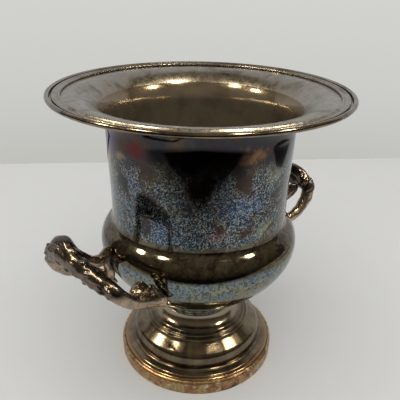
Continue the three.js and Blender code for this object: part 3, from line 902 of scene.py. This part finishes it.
belongs(bowl(), "bowl_plate", "bowl_shell")
belongs(border(), "border_plate", "rim_border")
belongs(collar(), "collar_plate", "neck_collar")
belongs(foot(), "foot_plate", "foot")
belongs(band(), "worn_band", "foot_band")
belongs(wire(), "bare_wire", "rim_wire")
cast = cast_metal()
belongs(handle("vine_handle_right", False, cast), "handle_plate", "handle_right")
belongs(handle("vine_handle_left", True, cast), "handle_plate", "handle_left")

steel = steel_metal()
for node in ("foot_stud", "plain_washer", "spring_washer", "hex_nut"):
    frame["nodes"][node].data.materials.clear()
    frame["nodes"][node].data.materials.append(steel)

# ---------------------------------------------------------------- stage
# The camera sees a plain floor and the world's pale grey behind it. The metal mirrors other sheets: a
# table with a nearer edge and painted shade towards the camera, a dark thing on it, and a wall.
TABLE_BACK, TABLE_SIDE, TABLE_SKEW = 0.500, 1.63, 0.10
FLOOR_NEAR = 3.0
WALL_SIDE, WALL_HIGH = 1.5, 1.0
TABLE_LIFT, DARK_LIFT = 0.0003, 0.002

# The near edge of the table and the corners of the dark thing: degrees to the left of the side of the
# cup that faces the camera, and distances from its axis. Past the edge the metal sees the dim room.
NEAR_EDGE = [
    (-72, 1.7), (-62, 1.15), (-54, 0.85), (-48.6, 0.71), (-45.6, 0.636), (-41.4, 0.572), (-34.8, 0.52),
    (-27.2, 0.478), (-18.5, 0.443), (-10, 0.40), (-1.3, 0.385), (7.5, 0.405), (16.4, 0.455),
    (23.2, 0.491), (30.1, 0.538), (34.8, 0.587), (38.4, 0.647), (40.8, 0.704), (46, 0.85),
    (55, 1.15), (68, 1.7),
]
DARK_THING = [(-87, 0.74), (-125, 0.70), (-110, 0.52), (-97, 0.53)]


def on_table(places):
    """Corners from (degrees, distance) pairs."""
    return [(-d * math.cos(math.radians(a)), d * math.sin(math.radians(a)), 0) for a, d in places]


def stage_sheet(name, corners, material):
    """A flat piece of the stage. A corner is how far ahead of the cup it is, how far left and how high."""
    turn = Matrix.Rotation(HEADING, 3, "Z")
    mesh = bpy.data.meshes.new(name)
    mesh.from_pydata([turn @ Vector(c) for c in corners], [], [tuple(range(len(corners)))])
    mesh.materials.append(material)
    made = bpy.data.objects.new(name, mesh)
    bpy.context.scene.collection.objects.link(made)
    return made


def only_mirrored(made, lift=0.0):
    """Shows a sheet only to the metal. One that lies on the floor is lifted, so that light reaches it."""
    made.location.z = lift
    made.visible_camera = False
    made.visible_diffuse = False
    made.visible_shadow = False


def glow(name, colour, strength):
    """A material that gives off light."""
    material = bpy.data.materials.new(name)
    material.use_nodes = True
    tree = material.node_tree
    tree.nodes.clear()
    light = tree.nodes.new("ShaderNodeEmission")
    light.inputs["Color"].default_value = (*colour, 1)
    light.inputs["Strength"].default_value = strength
    tree.links.new(light.outputs[0], tree.nodes.new("ShaderNodeOutputMaterial").inputs[0])
    return material


back_edge = [
    (TABLE_BACK - TABLE_SKEW * TABLE_SIDE, TABLE_SIDE, 0),
    (TABLE_BACK + TABLE_SKEW * TABLE_SIDE, -TABLE_SIDE, 0),
]
near_corners = [(-FLOOR_NEAR, -TABLE_SIDE, 0), (-FLOOR_NEAR, TABLE_SIDE, 0)]
floor_paint = stage_paint("floor_paint", (0.69, 0.685, 0.685), 0.55)
floor = stage_sheet("floor", [*near_corners, *back_edge], floor_paint)
floor.visible_glossy = False
floor.visible_shadow = False

# The mirrored table's paint carries painted shade towards the camera's side.
table_paint = stage_paint("table_paint", (0.64, 0.635, 0.635), 0.55, True)
only_mirrored(stage_sheet("mirrored_table", [*on_table(NEAR_EDGE), *back_edge], table_paint), TABLE_LIFT)
dark_paint = stage_paint("dark_paint", (0.02, 0.017, 0.015), 0.5)
only_mirrored(stage_sheet("mirrored_dark_thing", on_table(DARK_THING), dark_paint), DARK_LIFT)
wall_corners = [
    (TABLE_BACK, side * WALL_SIDE, height)
    for side, height in ((-1, 0), (1, 0), (1, WALL_HIGH), (-1, WALL_HIGH))
]
only_mirrored(stage_sheet("wall", wall_corners, glow("wall_glow", (0.95, 0.96, 1.0), 0.55)))


# ---------------------------------------------------------------- lights
CUP_MIDDLE = Vector((0, 0, 0.13))
SOFT_PLACE, SOFT_SIZE, SOFT_POWER = (-0.75, -0.6, 2.2), 3.0, 38
SPOT_DISTANCE, SPOT_SIZE, SPOT_POWER = 2.3, 0.26, 17
# The ways from the cup to four warm lamps, worked out from their highlights in the photo.
SPOTS = {
    "spot_outer_left": (-0.575, 0.491, 0.655),
    "spot_outer_right": (0.308, -0.635, 0.709),
    "spot_inner_left": (-0.574, 0.145, 0.806),
    "spot_inner_right": (-0.014, -0.436, 0.900),
}


def area_light(name, place, size, power, colour):
    """A square light that faces the cup and that the camera doesn't see."""
    data = bpy.data.lights.new(name, "AREA")
    data.size = size
    data.energy = power
    data.color = colour
    made = bpy.data.objects.new(name, data)
    bpy.context.scene.collection.objects.link(made)
    made.location = place
    made.rotation_euler = (CUP_MIDDLE - Vector(place)).to_track_quat("-Z", "Y").to_euler()
    made.visible_camera = False
    return made


# The soft light lights the floor but isn't mirrored, and the lamps are mirrored but don't light it.
soft = area_light("soft_light", SOFT_PLACE, SOFT_SIZE, SOFT_POWER, (1.0, 0.995, 0.985))
soft.visible_glossy = False
for name, way in SPOTS.items():
    place = CUP_MIDDLE + Vector(way) * SPOT_DISTANCE
    lamp = area_light(name, place, SPOT_SIZE, SPOT_POWER, (1.0, 0.90, 0.70))
    lamp.visible_diffuse = False


def world():
    """Pale grey for the camera and for diffuse light, and a dim, warm room for the metal to mirror."""
    made = bpy.data.worlds.new("room")
    bpy.context.scene.world = made
    made.use_nodes = True
    tree = made.node_tree
    tree.nodes.clear()
    where = tree.nodes.new("ShaderNodeTexCoord")
    split = tree.nodes.new("ShaderNodeSeparateXYZ")
    tree.links.new(where.outputs["Generated"], split.inputs[0])

    def sky(*stops):
        """A background with stops of colour from straight down, at 0, to straight up, at 1."""
        back = tree.nodes.new("ShaderNodeBackground")
        rise = tree.nodes.new("ShaderNodeMapRange")
        rise.inputs["From Min"].default_value = -1.0
        tree.links.new(split.outputs["Z"], rise.inputs["Value"])
        ramp = tree.nodes.new("ShaderNodeValToRGB")
        tree.links.new(rise.outputs[0], ramp.inputs[0])
        marks = ramp.color_ramp.elements
        while len(marks) < len(stops):
            marks.new(0.5)
        for mark, (at, colour) in zip(marks, stops):
            mark.position = at
            mark.color = (*colour, 1)
        tree.links.new(ramp.outputs[0], back.inputs["Color"])
        return back

    seen = sky((0.33, (0.53, 0.53, 0.50)), (0.40, (0.60, 0.605, 0.58)), (0.48, (0.645, 0.65, 0.625)))
    room = sky((0.44, (0.010, 0.008, 0.007)), (0.52, (0.07, 0.06, 0.048)), (0.75, (0.17, 0.148, 0.112)))
    path = tree.nodes.new("ShaderNodeLightPath")
    either = tree.nodes.new("ShaderNodeMath")
    either.operation = "MAXIMUM"
    tree.links.new(path.outputs["Is Camera Ray"], either.inputs[0])
    tree.links.new(path.outputs["Is Diffuse Ray"], either.inputs[1])
    pick = tree.nodes.new("ShaderNodeMixShader")
    tree.links.new(either.outputs[0], pick.inputs[0])
    tree.links.new(room.outputs[0], pick.inputs[1])
    tree.links.new(seen.outputs[0], pick.inputs[2])
    tree.links.new(pick.outputs[0], tree.nodes.new("ShaderNodeOutputWorld").inputs[0])


world()
bpy.context.scene.view_settings.view_transform = "Standard"

# ---------------------------------------------------------------- camera
# The camera's place and angles, fitted to the outlines of the cup in the photo.
CAMERA_BACK, CAMERA_UP = 0.3812, 0.3372
CAMERA_PITCH, CAMERA_YAW, CAMERA_ROLL = 25.58, -0.11, 1.22
LENS, SENSOR = 43.2, 36


def camera():
    """The camera, on the cup's near side, looking down at it and leaning a little to one side."""
    data = bpy.data.cameras.new("camera")
    data.lens = LENS
    data.sensor_width = SENSOR
    data.clip_start = 0.01
    made = bpy.data.objects.new("camera", data)
    bpy.context.scene.collection.objects.link(made)
    pitch, roll = math.radians(CAMERA_PITCH), math.radians(CAMERA_ROLL)
    heading = HEADING + math.radians(CAMERA_YAW)
    level = Vector((math.cos(heading), math.sin(heading), 0))
    right = Vector((level.y, -level.x, 0))
    forward = level * math.cos(pitch) - Vector((0, 0, math.sin(pitch)))
    down = -level * math.sin(pitch) - Vector((0, 0, math.cos(pitch)))
    image_right = right * math.cos(roll) - down * math.sin(roll)
    image_down = right * math.sin(roll) + down * math.cos(roll)
    axes = Matrix((image_right, -image_down, -forward)).transposed().to_4x4()
    back = Vector((math.cos(HEADING), math.sin(HEADING), 0)) * -CAMERA_BACK
    made.matrix_world = Matrix.Translation(back + Vector((0, 0, CAMERA_UP))) @ axes
    bpy.context.scene.camera = made


camera()
